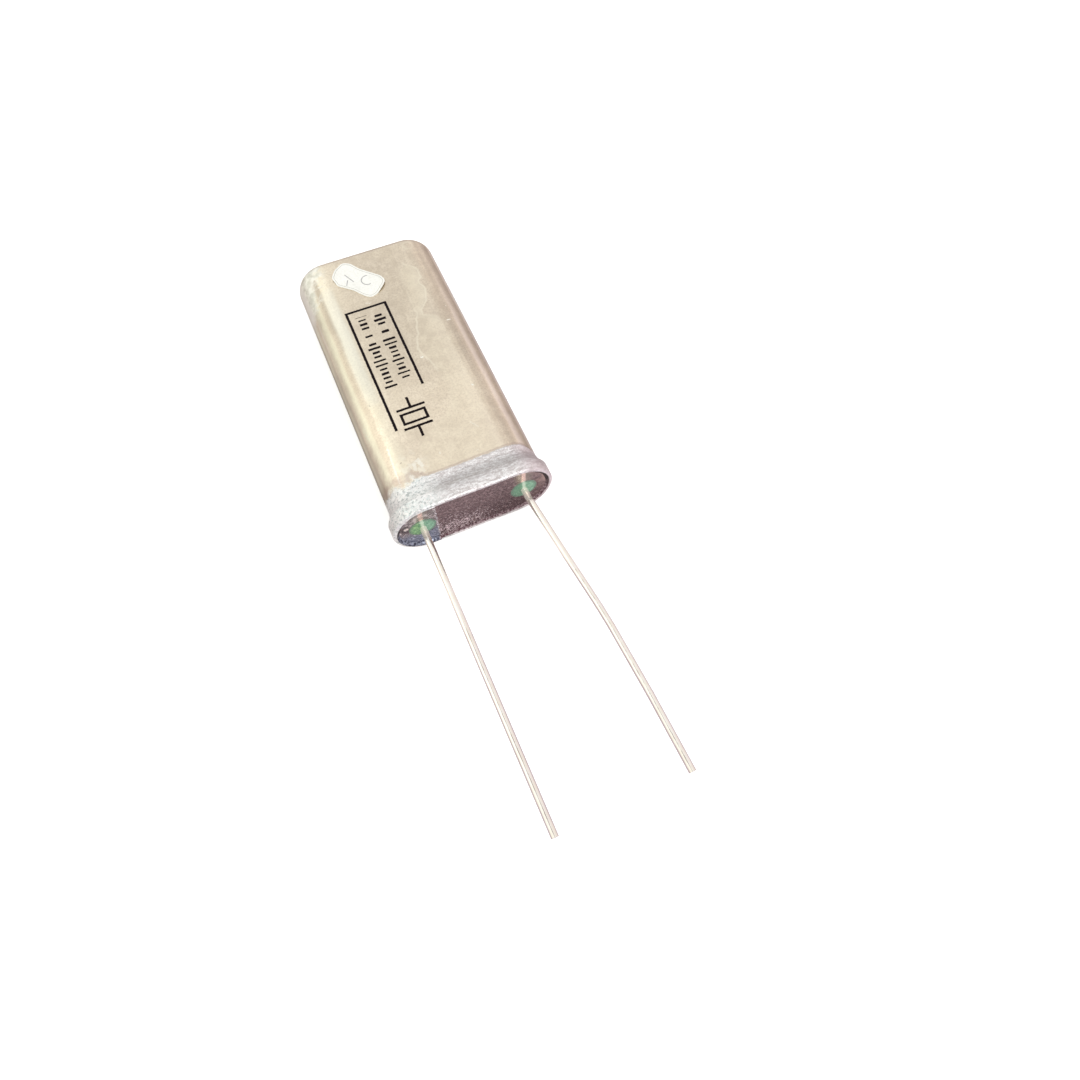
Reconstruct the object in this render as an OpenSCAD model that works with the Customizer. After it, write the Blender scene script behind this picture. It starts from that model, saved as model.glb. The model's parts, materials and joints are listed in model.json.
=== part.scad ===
// Tall quartz crystal unit in a flat metal can with two wire leads.
// Every module draws its piece standing on the rim plane: X is the width of the can,
// Y its thickness, with the marked front at -Y, and +Z points to the closed end. lying()
// then lays the unit on its flat back, the way it rests on a table.

/* [Can] */
// Thickness of the can's body, over its flat sides
can_t = 7.5; // [6:0.1:10]
// Height from the rim plane to the closed end
can_h = 39; // [32:0.5:48]
// Thickness of the drawn sheet
can_wall = 0.35; // [0.25:0.05:0.5]
// Outside radius round the closed end
end_r = 1.8; // [1:0.1:2.5]
// Distance from a lead's centre to the end of the body beside it
end_margin = 2.9; // [2.4:0.1:3.6]

/* [Skirt] */
// How far the skirt at the open end stands out from the body
flare = 0.6; // [0.5:0.05:0.9]
// Height of the skirt's shoulder above the rim plane
skirt_h = 1.9; // [1.6:0.1:3]
// Radius on the outside of the shoulder
shoulder_r = 0.34; // [0.2:0.02:0.4]
// Radius in the corner between the shoulder and the body
fillet_r = 0.24; // [0.1:0.02:0.25]
// Radius on the outer edge of the rim
rim_r = 0.3; // [0.2:0.02:0.33]

/* [Header] */
// Thickness of the header's sheet
header_t = 0.35; // [0.25:0.05:0.5]
// Depth of the header's flat face behind the rim plane
recess = 0.3; // [0.15:0.05:0.6]
// Height of the header's turned wall
header_wall_h = 1.2; // [0.8:0.1:1.3]
// Outside radius where the header's face turns into its wall
header_r = 0.3; // [0.1:0.01:0.6]
// Gap between the can and the header, filled with solder
solder_gap = 0.1; // [0.05:0.01:0.2]
// Radius of the solder bead that closes the gap at the rim
bead_r = 0.2; // [0.16:0.01:0.24]

/* [Seals] */
// Distance between the two leads
lead_pitch = 12.2; // [11:0.1:16]
// Diameter of a glass seal
seal_d = 3.2; // [2.4:0.1:3.4]
// Length of a glass seal
seal_h = 1.6; // [1.2:0.1:2.5]
// Height of the glass meniscus that stands above the header's face
meniscus_h = 0.14; // [0.05:0.01:0.15]
// Wall of the collar that holds a seal
collar_t = 0.25; // [0.2:0.05:0.4]
// Length of that collar
collar_h = 1.3; // [0.9:0.1:1.6]

/* [Leads] */
// Diameter of a lead, over its tinned coat
lead_d = 0.8; // [0.6:0.05:1]
// Thickness of that coat, which the wire has only outside the can
coat_t = 0.02; // [0.01:0.005:0.04]
// Length over which the coat thins out towards the rim plane
coat_fade = 0.7; // [0.6:0.05:1]
// Length of a lead below the rim plane
lead_len = 35; // [20:1:45]
// Length of a lead above its seal, inside the can
stub_h = 2; // [1:0.1:4]
// Angle at which the right lead leaves its seal
splay = 6.2; // [2:0.1:8]
// Length of the right lead's splayed stretch
splay_len = 15; // [6:0.5:16]
// Bend radius of the right lead beside its seal
root_bend_r = 3; // [2:0.5:6]
// Angle of each of the two bends that turn the right lead back
back_bend = 1.7; // [1:0.1:3]
// Distance between those two bends
back_len = 2.6; // [1:0.1:4]
// Length of the stretch after them
mid_len = 8; // [2:0.5:9]
// Angle of the last slight bend
late_bend = 1.2; // [0.5:0.1:2]
// How far the wire is swollen at such a bend
bend_swell = 0.02; // [0.01:0.005:0.04]

/* [Resonator] */
// Height of the quartz plate
quartz_h = 24; // [16:0.5:29]
// Thickness of the quartz plate
quartz_t = 0.8; // [0.5:0.05:1.2]
// Height of the plate's lower edge above the rim plane
quartz_z = 7; // [6:0.5:9]
// Clear gap between the plate and a post
plate_gap = 0.9; // [0.6:0.1:1.4]
// Thickness of an electrode film
film_t = 0.05; // [0.03:0.01:0.1]
// Bare quartz left round an electrode
film_margin = 0.4; // [0.2:0.1:0.8]
// Share of the plate's height from either end to its line of least motion
node_share = 0.224; // [0.2:0.001:0.25]

/* [Supports] */
// Diameter of a support post
post_d = 0.6; // [0.4:0.05:0.8]
// Height of a post above the quartz plate
post_over = 1; // [0.5:0.5:2]
// Length of post that lies along the lead's inner end
weld_h = 1.6; // [1:0.1:1.9]
// Diameter of a suspension wire
wire_d = 0.24; // [0.16:0.02:0.3]
// Bend radius of a suspension wire
wire_bend_r = 0.5; // [0.3:0.05:0.6]
// Straight length of wire standing out from the plate
wire_leg = 0.7; // [0.7:0.05:0.9]
// Length of wire past the axis of the post
wire_tail = 0.35; // [0.2:0.05:0.5]
// Foot diameter of the solder cone on an electrode
cone_d = 1.2; // [0.8:0.1:1.4]
// Height of that cone
cone_h = 0.6; // [0.4:0.05:0.65]
// Diameter of the solder drop on a post
drop_d = 1; // [0.9:0.05:1.1]

/* [Label] */
// Thickness of the paper
label_t = 0.1; // [0.05:0.01:0.15]
// Distance of the label's middle from the closed end
label_drop = 5.2; // [5:0.1:9]
// Distance of the label's middle to the left of the can's middle
label_left = 1.6; // [0:0.1:1.6]

/* [Hidden] */
$fn = 96;
eps = 0.5;
body_r = can_t / 2;
arc_x = lead_pitch / 2 + end_margin - body_r;
skirt_r = body_r + flare;
header_out_r = skirt_r - can_wall - solder_gap;
header_in_r = header_out_r - header_t;
header_top = recess + header_wall_h;
lead_r = lead_d / 2;
core_r = lead_r - coat_t;
seal_r = seal_d / 2;
lead_top = recess + seal_h + stub_h;
post_r = post_d / 2;
post_x = lead_pitch / 2 - core_r - post_r;
post_foot = lead_top - weld_h;
post_top = quartz_z + quartz_h + post_over;
quartz_w = 2 * (post_x - post_r - plate_gap);
face_y = quartz_t / 2 + film_t;
wire_r = wire_d / 2;
wire_x = post_x + post_r + wire_r;
wire_levels = [quartz_z + quartz_h * node_share, quartz_z + quartz_h * (1 - node_share)];
knuckle_r = lead_r + bend_swell;
setback = 2 * bend_swell;
back_angle = splay - back_bend;
mid_angle = back_angle - back_bend;
tip_angle = mid_angle - late_bend;
bent_drop = coat_fade + root_bend_r * sin(splay) + splay_len * cos(splay)
    + back_len * cos(back_angle) + mid_len * cos(mid_angle);
tip_len = (lead_len - bent_drop) / cos(tip_angle);
// The label was cut by hand with straight snips, so its corners are free points about its middle.
label_outline = [
    [-3.1, 1.3], [-2.3, 2.5], [-1.2, 3.2], [-0.3, 2.8], [0.6, 1.5], [1.9, 0.2], [2.6, -0.5],
    [2.9, -1.6], [2.4, -2.3], [1.3, -3.2], [0.4, -3.4], [-0.3, -2.8], [-1.2, -1.5], [-2.8, -0.1]
];
rim_y = (lead_len - can_h) / 2;

// Lays the standing unit on its back, with the middle of its length over the origin.
module lying() {
    translate([0, rim_y, skirt_r]) rotate([-90, 0, 0]) children();
}

// Sweeps a half section, X outward and Y up, round the can's outline with its two round ends.
module round_outline() {
    for (side = [-1, 1])
        translate([side * arc_x, 0, 0]) rotate([0, 0, -90 * side]) rotate_extrude(angle = 180) children();
    for (side = [0, 1])
        mirror([0, side, 0]) rotate([90, 0, 90]) linear_extrude(2 * arc_x, center = true) children();
}

// A half section from the middle out to r, between two heights, with one outer corner rounded.
module low_corner(r, from, to, corner) {
    translate([0, from + corner]) square([r, to - from - corner]);
    translate([0, from]) square([r - corner, to - from]);
    translate([r - corner, from + corner]) circle(corner);
}

module high_corner(r, from, to, corner) {
    translate([0, from]) square([r, to - from - corner]);
    translate([0, from]) square([r - corner, to - from]);
    translate([r - corner, to - corner]) circle(corner);
}

// The solid form of the can, made smaller by inset on every side.
module can_form(inset, rim, shoulder, fillet) {
    r = body_r - inset;
    step = skirt_h - inset;
    high_corner(r, 0, can_h - inset, end_r - inset);
    intersection() {
        low_corner(skirt_r - inset, 0, can_h, rim);
        high_corner(skirt_r - inset, 0, step, shoulder);
    }
    difference() {
        translate([0, step]) square([r + fillet, fillet]);
        translate([r + fillet, step + fillet]) circle(fillet);
    }
}

module can_section() {
    difference() {
        can_form(0, rim_r, shoulder_r, fillet_r);
        can_form(can_wall, 0, max(shoulder_r - can_wall, 0), fillet_r);
        translate([0, -eps]) square([skirt_r - can_wall, eps + recess]);
    }
}

module header_section() {
    difference() {
        low_corner(header_out_r, recess, header_top, header_r);
        low_corner(header_in_r, recess + header_t, header_top + eps, max(header_r - header_t, 0));
    }
}

module can() {
    color("wheat") lying() round_outline() can_section();
}

module header() {
    color([0.38, 0.3, 0.3]) lying() difference() {
        union() {
            round_outline() header_section();
            for (side = [-1, 1])
                translate([side * lead_pitch / 2, 0, recess + header_t / 2])
                    cylinder(h = collar_h - header_t / 2, r = seal_r + collar_t);
        }
        for (side = [-1, 1])
            translate([side * lead_pitch / 2, 0, recess - eps]) cylinder(h = collar_h + 2 * eps, r = seal_r);
    }
}

// The solder runs up the gap between the two walls, fills the header's round corner and ends
// in a bead at the rim.
module seam_solder() {
    color("silver") lying() round_outline() difference() {
        union() {
            translate([header_out_r, bead_r]) square([solder_gap, header_top - bead_r]);
            translate([header_out_r - bead_r, bead_r])
                square([bead_r + solder_gap, recess + header_r - bead_r]);
            intersection() {
                translate([header_out_r, bead_r]) circle(bead_r);
                square([header_out_r + solder_gap, 2 * bead_r]);
            }
        }
        low_corner(header_out_r, recess, header_top + eps, header_r);
    }
}

// Glass melted into its collar, with a slight crown on the outer face.
module glass_seal(side) {
    crown_r = (pow(seal_r, 2) + pow(meniscus_h, 2)) / (2 * meniscus_h);
    color("seagreen") lying() translate([side * lead_pitch / 2, 0, recess]) difference() {
        union() {
            cylinder(h = seal_h, r = seal_r);
            intersection() {
                translate([0, 0, crown_r - meniscus_h]) sphere(crown_r);
                translate([0, 0, -meniscus_h]) cylinder(h = meniscus_h + seal_h / 2, r = seal_r);
            }
        }
        translate([0, 0, -eps]) cylinder(h = seal_h + 2 * eps, r = core_r);
    }
}

// A straight stretch of lead going down, with what follows placed at its end.
module run(length) {
    translate([0, 0, -length]) cylinder(h = length, r = lead_r);
    translate([0, 0, -length]) children();
}

// A round bend towards +X, with what follows placed at its end.
module bend(angle, radius) {
    translate([radius, 0, 0]) {
        rotate([90, 0, 0]) rotate([0, 0, 180]) rotate_extrude(angle = angle)
            translate([radius, 0]) circle(lead_r);
        rotate([0, -angle, 0]) translate([-radius, 0, 0]) children();
    }
}

// A slight bend back towards -X. The wire is a little swollen there, and the stretches on both
// sides end inside that swelling, a setback from its centre.
module knuckle(angle) {
    translate([0, 0, -setback]) {
        sphere(knuckle_r);
        rotate([0, angle, 0]) translate([0, 0, -setback]) children();
    }
}

// The bare wire through the seal, and the taper below the rim plane where its coat begins.
module lead_core() {
    cylinder(h = lead_top, r = core_r);
    translate([0, 0, -coat_fade]) cylinder(h = coat_fade, r1 = lead_r, r2 = core_r);
    translate([0, 0, -coat_fade]) children();
}

module lead_left() {
    color("lightgoldenrodyellow") lying() translate([-lead_pitch / 2, 0, 0])
        lead_core() run(lead_len - coat_fade);
}

// The right lead was pulled outward beside its seal and straightened again further out.
module lead_right() {
    color("lightgoldenrodyellow") lying() translate([lead_pitch / 2, 0, 0])
        lead_core() bend(splay, root_bend_r) run(splay_len - setback)
            knuckle(back_bend) run(back_len - 2 * setback)
            knuckle(back_bend) run(mid_len - 2 * setback)
            knuckle(late_bend) run(tip_len - setback);
}

module post(side) {
    color("gainsboro") lying() translate([side * post_x, 0, post_foot])
        cylinder(h = post_top - post_foot, r = post_r);
}

module quartz_plate() {
    color("aliceblue") lying() translate([-quartz_w / 2, -quartz_t / 2, quartz_z])
        cube([quartz_w, quartz_t, quartz_h]);
}

module electrode(turn) {
    color("silver") lying() rotate([0, 0, turn])
        translate([film_margin - quartz_w / 2, -face_y, quartz_z + film_margin])
            cube([quartz_w - 2 * film_margin, film_t, quartz_h - 2 * film_margin]);
}

// One suspension wire: out from the plate's face, across to the left, and back past the post.
module suspension_wire() {
    out_y = face_y + wire_leg;
    translate([0, -face_y, 0]) rotate([90, 0, 0]) cylinder(h = wire_leg, r = wire_r);
    translate([-wire_bend_r, -out_y, 0]) rotate([0, 0, -90]) wire_corner();
    translate([-wire_bend_r, -out_y - wire_bend_r, 0]) rotate([0, -90, 0])
        cylinder(h = wire_x - 2 * wire_bend_r, r = wire_r);
    translate([wire_bend_r - wire_x, -out_y, 0]) rotate([0, 0, 180]) wire_corner();
    translate([-wire_x, -out_y, 0]) rotate([-90, 0, 0]) cylinder(h = out_y + wire_tail, r = wire_r);
}

module wire_corner() {
    rotate_extrude(angle = 90) translate([wire_bend_r, 0]) circle(wire_r);
}

// The two wires of one face. The front's pair goes to the left post, the back's to the right one.
module suspension_wires(turn) {
    color("gold") lying() rotate([0, 0, turn])
        for (level = wire_levels) translate([0, 0, level]) suspension_wire();
}

// A cone on each electrode and a drop on each post, with the wire running through both.
module solder_joints() {
    color("lightgray") lying() for (turn = [0, 180], level = wire_levels)
        rotate([0, 0, turn]) translate([0, 0, level]) difference() {
            union() {
                translate([0, -face_y, 0]) rotate([90, 0, 0])
                    cylinder(h = cone_h, r1 = cone_d / 2, r2 = wire_d);
                translate([-post_x - post_r, 0, 0]) sphere(drop_d / 2);
            }
            suspension_wire();
            translate([-post_x, 0, -drop_d]) cylinder(h = 2 * drop_d, r = post_r);
        }
}

module paper_label() {
    color("white") lying() translate([-label_left, -body_r, can_h - label_drop]) rotate([90, 0, 0])
        linear_extrude(label_t) polygon(label_outline);
}

can();
header();
seam_solder();
glass_seal(-1);  // glass_seal_left
glass_seal(1);  // glass_seal_right
lead_left();
lead_right();
post(-1);  // post_left
post(1);  // post_right
quartz_plate();
electrode(0);  // electrode_front
electrode(180);  // electrode_back
suspension_wires(0);  // suspension_wires_front
suspension_wires(180);  // suspension_wires_back
solder_joints();
paper_label();
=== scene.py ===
# %% [markdown]
# # The looks of a tall quartz crystal unit
#
# The part is a flat metal can with round ends. Its open end is closed by a dark header that is
# soldered in, and two wire leads come out of the header through beads of green glass. The form of
# every piece is already fixed, and this notebook gives it its surfaces: the drawn metal, the
# tinning, the ink, the paper, the glass and the wires.
#
# The first cell loads the fixed model. Its nodes are never moved, and a finish is assigned to them.

# %% Load the model
import json
import math
from functools import partial
import bmesh
import bpy
from mathutils import Matrix, Vector

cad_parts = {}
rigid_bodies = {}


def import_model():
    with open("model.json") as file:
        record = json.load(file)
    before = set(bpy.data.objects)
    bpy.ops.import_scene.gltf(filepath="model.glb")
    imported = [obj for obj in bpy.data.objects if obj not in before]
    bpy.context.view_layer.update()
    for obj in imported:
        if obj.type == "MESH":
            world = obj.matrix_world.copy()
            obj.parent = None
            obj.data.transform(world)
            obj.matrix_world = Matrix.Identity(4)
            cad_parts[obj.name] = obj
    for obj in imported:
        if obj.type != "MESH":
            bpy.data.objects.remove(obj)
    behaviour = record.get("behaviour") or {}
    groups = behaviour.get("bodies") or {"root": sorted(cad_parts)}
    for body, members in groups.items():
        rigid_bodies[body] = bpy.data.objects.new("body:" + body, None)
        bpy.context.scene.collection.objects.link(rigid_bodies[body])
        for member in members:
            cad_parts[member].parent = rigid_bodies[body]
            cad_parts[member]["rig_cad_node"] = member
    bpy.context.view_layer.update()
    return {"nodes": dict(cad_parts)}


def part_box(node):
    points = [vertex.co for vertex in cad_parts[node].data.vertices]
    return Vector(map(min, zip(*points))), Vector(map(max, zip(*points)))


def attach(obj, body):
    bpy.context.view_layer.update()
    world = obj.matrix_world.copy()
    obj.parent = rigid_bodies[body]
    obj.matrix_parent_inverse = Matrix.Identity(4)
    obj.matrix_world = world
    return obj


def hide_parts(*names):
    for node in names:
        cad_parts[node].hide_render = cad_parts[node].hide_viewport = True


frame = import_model()
print("nodes:", ", ".join(sorted(frame["nodes"])))

# %% [markdown]
# ## Sizes
#
# Blender works in metres, and this part is a few centimetres long, so every size here is written in
# millimetres and multiplied by MM. The places come from the boxes of the nodes. The can lies on its
# back with its length along Y, the rim of the open end faces -Y, and the marked face looks up.

# %% Measure the nodes
MM = 0.001
can_low, can_high = (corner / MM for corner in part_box("can"))
header_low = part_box("header")[0] / MM
label_low, label_high = (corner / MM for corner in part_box("paper_label"))
glass_low, glass_high = (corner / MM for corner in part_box("glass_seal_right"))

RIM_Y = can_low.y
END_Y = can_high.y
MID_Z = (can_low.z + can_high.z) / 2
SKIRT_R = (can_high.z - can_low.z) / 2
ARC_X = can_high.x - SKIRT_R
FACE_Z = label_low.z
BODY_R = FACE_Z - MID_Z
LEAD_X = (glass_low.x + glass_high.x) / 2
print(f"rim at y {RIM_Y:.2f}, closed end at y {END_Y:.2f}, marked face at z {FACE_Z:.2f} mm")
print(f"body radius {BODY_R:.2f}, skirt radius {SKIRT_R:.2f}, round ends centred on x {ARC_X:.2f} mm")

# %% [markdown]
# ## Camera
#
# The camera looks down on the can from the lead side, from close by and through a wide lens, so the
# rim looks much larger than the closed end. Its place is given by the point it looks at, two angles,
# a distance and a slight roll, which is easier to adjust than a place and three rotations.

# %% Place the camera
TARGET = Vector((6.052, -6.523, 0)) * MM
AZIMUTH, ELEVATION, ROLL = (math.radians(angle) for angle in (-25.95, 64.64, -2.07))
DISTANCE = 89.96 * MM

back = Vector((math.sin(AZIMUTH) * math.cos(ELEVATION),
               -math.cos(AZIMUTH) * math.cos(ELEVATION), math.sin(ELEVATION)))
right = Vector((math.cos(AZIMUTH), math.sin(AZIMUTH), 0))
turn = Matrix((right, back.cross(right), back)).transposed() @ Matrix.Rotation(-ROLL, 3, "Z")

lens = bpy.data.cameras.new("camera")
lens.sensor_width = 36
lens.lens = 25.73
lens.clip_start = 1 * MM
camera = bpy.data.objects.new("camera", lens)
camera.matrix_world = Matrix.Translation(TARGET + back * DISTANCE) @ turn.to_4x4()
bpy.context.collection.objects.link(camera)
bpy.context.scene.camera = camera
print("camera at", [round(value / MM, 1) for value in camera.location], "mm")

# %% [markdown]
# ## Floor and light
#
# The floor is a large pale sheet. Bright metal shows its surroundings more than itself, so the light
# is a white tent: a world whose brightness changes from side to side, and two large soft lamps. The
# floor is a little darker in reflections than it is to the eye, as a sheet in the shade of the can
# and the hand above it would be. Without that the metal would fade into the white.
#
# Colours and light are calculated by many small nodes. The helpers below add these nodes, and find
# the tree by one of the outputs they are given, so a formula reads almost as it would on paper.

# %% Helpers for node trees
def fill(socket, value):
    """Sets an input, or links an output to it."""
    if isinstance(value, bpy.types.NodeSocket):
        socket.id_data.links.new(value, socket)
    else:
        socket.default_value = value


def node(tree, kind, inputs=None, **settings):
    """Adds a node, sets its properties, and fills its inputs with values or with links."""
    made = tree.nodes.new(kind)
    for name, value in settings.items():
        setattr(made, name, value)
    for name, value in (inputs or {}).items():
        fill(made.inputs[name], value)
    return made


def tree_of(*values):
    """The node tree of the outputs among the values."""
    return next(value.id_data for value in values if isinstance(value, bpy.types.NodeSocket))


def maths(operation, *values, clamp=False):
    return node(tree_of(*values), "ShaderNodeMath", dict(enumerate(values)), operation=operation,
                use_clamp=clamp).outputs[0]


def times(first, *rest):
    """Multiplies values, beginning with the last two."""
    return maths("MULTIPLY", first, times(*rest) if len(rest) > 1 else rest[0])


# The other common operations: linear(value, factor, added) is value * factor + added.
plus, minus, larger, absolute, linear = (
    partial(maths, operation) for operation in ("ADD", "SUBTRACT", "MAXIMUM", "ABSOLUTE", "MULTIPLY_ADD"))


def ramp(value, start, end, low=0.0, high=1.0):
    """Goes smoothly from low to high while value goes from start to end."""
    inputs = {"Value": value, "From Min": start, "From Max": end, "To Min": low, "To Max": high}
    return node(tree_of(value), "ShaderNodeMapRange", inputs, interpolation_type="SMOOTHSTEP").outputs[0]


def mix(factor, first, second):
    """Mixes two colours."""
    made = node(tree_of(factor, first, second), "ShaderNodeMix", data_type="RGBA")
    for index, value in ((0, factor), (6, first), (7, second)):
        fill(made.inputs[index], (*value, 1) if isinstance(value, tuple) else value)
    return made.outputs[2]


def curve(value, points):
    """Follows a curve through (value, result) points, and stays level past its ends."""
    start, end = points[0][0], points[-1][0]
    low, high = (pick(result for _, result in points) for pick in (min, max))
    part = maths("DIVIDE", minus(value, start), end - start, clamp=True)
    made = node(tree_of(value), "ShaderNodeFloatCurve", {"Value": part})
    line = made.mapping.curves[0]
    while len(line.points) < len(points):
        line.points.new(0.5, 0.5)
    for point, (place, result) in zip(line.points, points):
        point.location = ((place - start) / (end - start), (result - low) / (high - low))
    made.mapping.update()
    return linear(made.outputs[0], high - low, low)


print("helpers ready")

# %% Light the scene
WHITE = (1, 1, 1)
world = bpy.data.worlds.new("tent")
world.use_nodes = True
bpy.context.scene.world = world
tent = world.node_tree
tent.nodes.clear()
direction = node(tent, "ShaderNodeTexCoord").outputs["Generated"]
sideways = node(tent, "ShaderNodeSeparateXYZ", {"Vector": direction}).outputs["X"]
strength = curve(sideways, [(-1, 0.85), (-0.72, 1.06), (-0.4, 1.08), (-0.2, 1.0), (0.1, 0.97),
                            (0.5, 0.92), (1, 0.85)])
warm = mix(ramp(sideways, -0.8, -0.1), (1, 0.99, 0.93), WHITE)
tint = mix(ramp(sideways, 0.1, 0.9), warm, (1, 0.92, 0.92))
sky = node(tent, "ShaderNodeBackground", {"Color": tint, "Strength": strength})
node(tent, "ShaderNodeOutputWorld", {"Surface": sky.outputs[0]})


def lamp(name, place, size, watts, colour):
    """A square soft lamp that looks at the middle of the can."""
    light = bpy.data.lights.new(name, "AREA")
    light.size = size * MM
    light.energy = watts
    light.color = colour
    made = bpy.data.objects.new(name, light)
    place = Vector(place) * MM
    aim = Vector((0, 15 * MM, 0)) - place
    made.matrix_world = Matrix.Translation(place) @ aim.to_track_quat("-Z", "Y").to_matrix().to_4x4()
    bpy.context.collection.objects.link(made)


lamp("lamp_left", (-260, 120, 240), 200, 0.05, (1, 0.98, 0.94))
lamp("lamp_front", (120, -300, 320), 220, 0.8, WHITE)
bpy.context.scene.view_settings.view_transform = "Standard"

# %% [markdown]
# Polished wire mirrors whatever hangs over it. The dark front of a camera shows in each lead as a
# thin brown line, so a small dark card hangs at the camera's own height. Only mirror rays see it.
# The floor's darker look in reflections changes along Y: it is dark beside the can, lighter just
# before the rim, where light falls in, and dark again in front of it, for the header to mirror.

# %% Lay the floor and hang the card
def sheet_of(name, material, centre, size):
    """A flat stage piece, whose material is given and whose size and centre are in mm."""
    bpy.ops.object.select_all(action="DESELECT")
    bpy.ops.mesh.primitive_plane_add(size=1, location=Vector(centre) * MM)
    made = bpy.context.object
    made.scale = Vector((*size, 1)) * MM
    made.name = name
    made.data.materials.append(material)
    return made


def stage_material(name):
    made = bpy.data.materials.new(name)
    made.use_nodes = True
    made.node_tree.nodes.clear()
    return made, made.node_tree


FLOOR_SIZE, FLOOR_GREY, FLOOR_GLOW = (2000, 2000), (0.80, 0.80, 0.80, 1), 0.45
CARD_SHIFT, CARD_SIZE, CARD_BROWN = Vector((0, 22, 4)), (14, 64), (0.12, 0.06, 0.045, 1)
MIRRORED_BESIDE, MIRRORED_BY_RIM = (0.46, 0.41, 0.41), (0.9, 0.85, 0.88)
MIRRORED_IN_FRONT = (0.44, 0.37, 0.42)
sheet, tree = stage_material("pale_sheet")
lit = node(tree, "ShaderNodeBsdfDiffuse", {"Color": FLOOR_GREY})
glow = node(tree, "ShaderNodeEmission", {"Strength": FLOOR_GLOW})
seen = node(tree, "ShaderNodeAddShader", {0: lit.outputs[0], 1: glow.outputs[0]})
place = node(tree, "ShaderNodeNewGeometry").outputs["Position"]
along = node(tree, "ShaderNodeSeparateXYZ", {"Vector": place}).outputs["Y"]
beside = ramp(along, (RIM_Y - 3) * MM, (RIM_Y + 2) * MM)
in_front = ramp(along, (RIM_Y - 5) * MM, (RIM_Y - 9) * MM)
shaded = mix(in_front, mix(beside, MIRRORED_BY_RIM, MIRRORED_BESIDE), MIRRORED_IN_FRONT)
mirrored = node(tree, "ShaderNodeBsdfDiffuse", {"Color": shaded})
path = node(tree, "ShaderNodeLightPath").outputs["Is Glossy Ray"]
blend = node(tree, "ShaderNodeMixShader", {0: path, 1: seen.outputs[0], 2: mirrored.outputs[0]})
node(tree, "ShaderNodeOutputMaterial", {"Surface": blend.outputs[0]})
sheet_of("floor", sheet, (0, 0, 0), FLOOR_SIZE)

black, tree = stage_material("dark_card")
matt = node(tree, "ShaderNodeBsdfDiffuse", {"Color": CARD_BROWN})
node(tree, "ShaderNodeOutputMaterial", {"Surface": matt.outputs[0]})
over = camera.location / MM
card = sheet_of("card", black, over + CARD_SHIFT, CARD_SIZE)
card.visible_camera = card.visible_diffuse = card.visible_shadow = False
print("floor laid, card hung at", [round(value, 1) for value in over])

# %% [markdown]
# ## Shared effects
#
# Real metal is never one colour. It has mottling from handling, fine lines from the drawing die,
# and small marks. Each of these is one node group with named inputs, built once and used in several
# materials with other values. All of them read a place in millimetres, so a size of 2 means 2 mm on
# the part, and none of them slides when the view changes.

# %% Helpers for node groups
KINDS = {"Place": "Vector", "Middle": "Vector", "Half size": "Vector", "Sheet": "Vector", "Color": "Color"}


def new_group(name, inputs, outputs):
    """Starts a node group from the names of its sockets. Those that KINDS doesn't list are numbers."""
    tree = bpy.data.node_groups.new(name, "ShaderNodeTree")
    for direction, sockets in (("INPUT", inputs), ("OUTPUT", outputs)):
        for socket in sockets.split(", "):
            kind = "NodeSocket" + KINDS.get(socket, "Float")
            tree.interface.new_socket(socket, in_out=direction, socket_type=kind)
    return tree, tree.nodes.new("NodeGroupInput").outputs


def plug(made, **inputs):
    """Fills a node's inputs by their names: Base_Color stands for Base Color."""
    for name, value in inputs.items():
        fill(made.inputs[name.replace("_", " ")], value)


def finish_group(tree, **results):
    plug(node(tree, "NodeGroupOutput"), **results)
    print("group:", tree.name)


def use(name, **inputs):
    """Places a group and returns its outputs."""
    made = node(tree_of(*inputs.values()), "ShaderNodeGroup", node_tree=bpy.data.node_groups[name])
    plug(made, **inputs)
    return made.outputs


def mottle(place, size, low, high):
    return use("mottle", Place=place, Size=size, Low=low, High=high)["Mask"]


def split(place):
    return node(place.id_data, "ShaderNodeSeparateXYZ", {"Vector": place}).outputs


def vectors(operation, *values):
    """Calculates with places: the result is a place, and for DISTANCE a number."""
    made = node(tree_of(*values), "ShaderNodeVectorMath", dict(enumerate(values)), operation=operation)
    return made.outputs["Value" if operation == "DISTANCE" else "Vector"]


def stretch(place, factors):
    return vectors("MULTIPLY", place, factors)


def noise(place, scale, **inputs):
    return node(place.id_data, "ShaderNodeTexNoise", {"Vector": place, "Scale": scale, **inputs}).outputs[0]


print("group helpers ready")

# %% Build the effect groups
# Mottle: soft clouds of a given size, cut between two levels.
tree, given = new_group("mottle", "Place, Size, Low, High", "Mask")
clouds = noise(given["Place"], maths("DIVIDE", 1.0, given["Size"]), Detail=5, Roughness=0.62)
finish_group(tree, Mask=ramp(clouds, given["Low"], given["High"]))

# Drawn lines: fine lines along Y, as a die leaves them on a drawn can or a drawn wire.
tree, given = new_group("drawn_lines", "Place, Spacing", "Mask")
across, along = (maths("DIVIDE", length, given["Spacing"]) for length in (1.0, 0.03))
pull = node(tree, "ShaderNodeCombineXYZ", {"X": across, "Y": along, "Z": across}).outputs[0]
finish_group(tree, Mask=ramp(noise(stretch(given["Place"], pull), 1.0, Detail=4), 0.3, 0.7))

# Specks: small round dots, with only a share of the cells filled.
tree, given = new_group("specks", "Place, Spacing, Radius, Share", "Mask")
cells = node(tree, "ShaderNodeTexVoronoi", {"Vector": given["Place"],
                                            "Scale": maths("DIVIDE", 1.0, given["Spacing"])})
reach = maths("DIVIDE", given["Radius"], given["Spacing"])
dots = ramp(cells.outputs["Distance"], reach, times(reach, 0.5))
picked = node(tree, "ShaderNodeSeparateColor", {"Color": cells.outputs["Color"]}).outputs[0]
finish_group(tree, Mask=times(dots, maths("LESS_THAN", picked, given["Share"])))


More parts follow.
